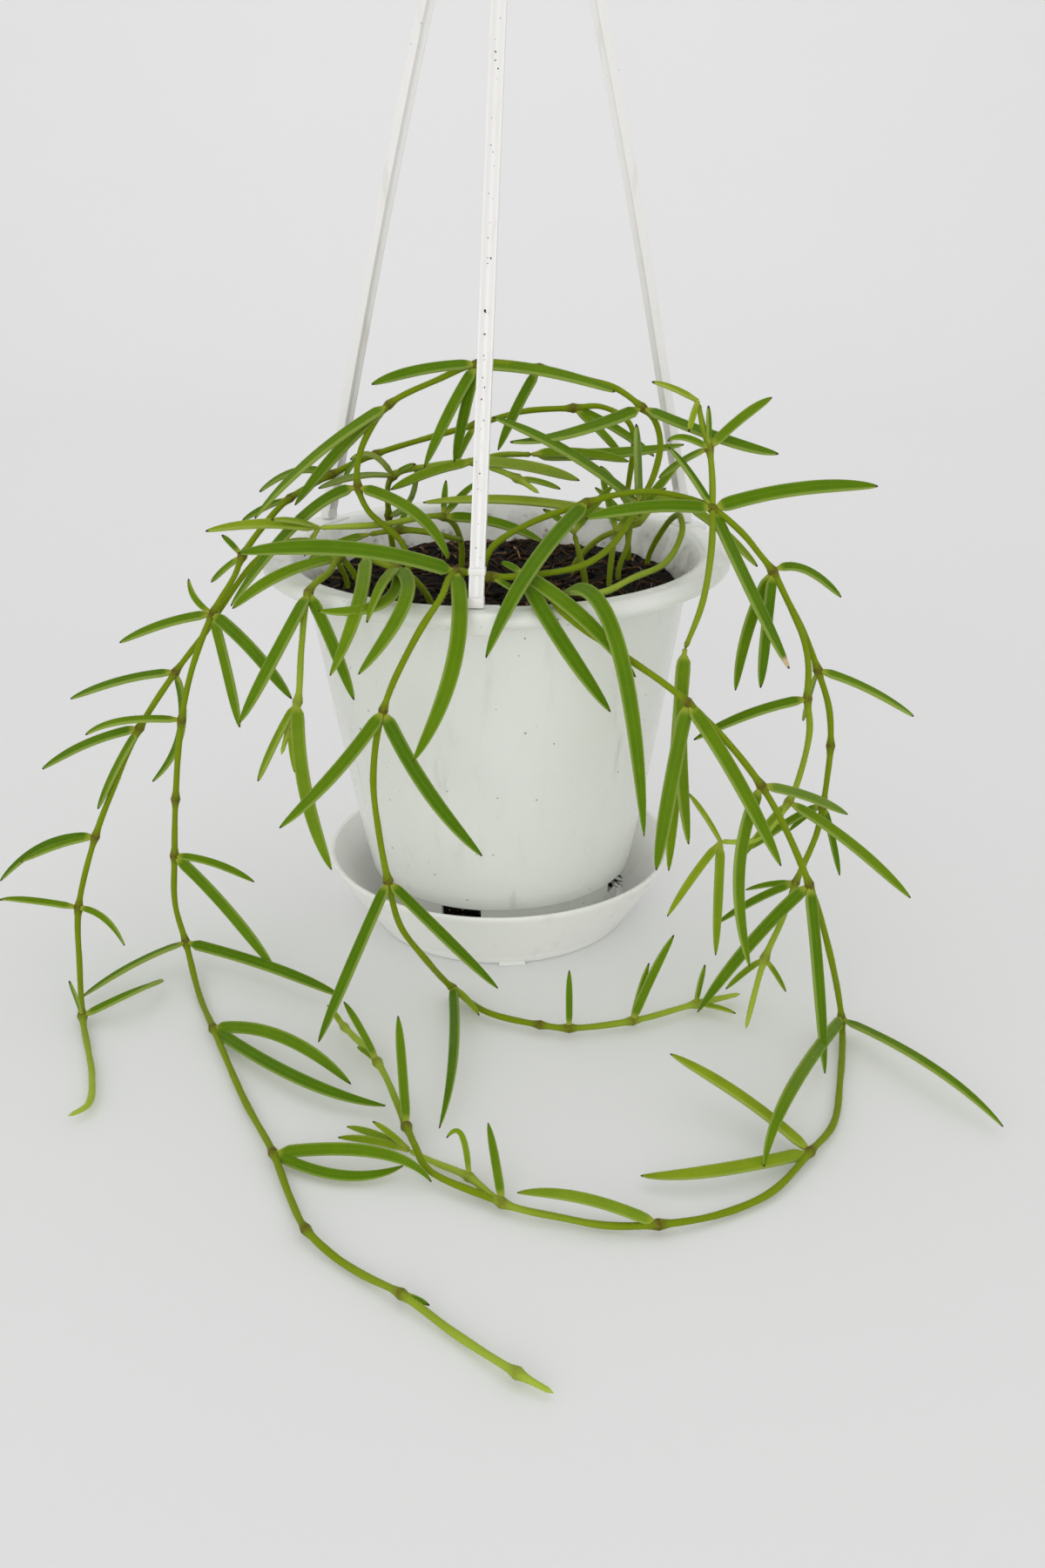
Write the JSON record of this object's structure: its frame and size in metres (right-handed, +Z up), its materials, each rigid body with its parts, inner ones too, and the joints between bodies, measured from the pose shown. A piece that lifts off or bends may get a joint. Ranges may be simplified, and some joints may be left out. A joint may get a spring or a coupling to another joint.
{
  "type": "potted hoya linearis",
  "caption": "Trailing hoya linearis in a white plastic hanging pot with clip-on saucer and three-armed hook hanger, stems hanging over the rim and lying on the surface.",
  "frame": {"origin": "centre of the saucer's underside, on the pot's axis, on the surface that the pot stands on", "axes": "+Z up along the pot's axis; -Y is the front, where most stems trail over the rim; +X to the right"},
  "size_m": [0.3075, 0.3193, 0.4352],
  "materials": {
    "white_plastic": "glossy white moulded plastic with faint scuffs",
    "peat": "rough dark peat with brown crumbs and fibres",
    "foliage": "fleshy mid-green leaves and yellow-green stems with fine hairs"
  },
  "bodies": {
    "root": {"saucer": "white_plastic", "pot": "white_plastic", "soil": "peat", "hanger_arm_front": "white_plastic", "hanger_arm_right": "white_plastic", "hanger_arm_left": "white_plastic", "hanger_hook": "white_plastic", "vine_front_right": "foliage", "vine_left_long": "foliage", "vine_left_far": "foliage", "vine_arch": "foliage", "vine_front_left": "foliage", "stem_front_rim": "foliage", "vine_right": "foliage", "stem_loop_right": "foliage", "stem_mid_left": "foliage", "stem_back_left": "foliage", "stem_back_right": "foliage", "stem_upright_1": "foliage", "stem_upright_2": "foliage", "stem_upright_3": "foliage"}
  },
  "joints": []
}
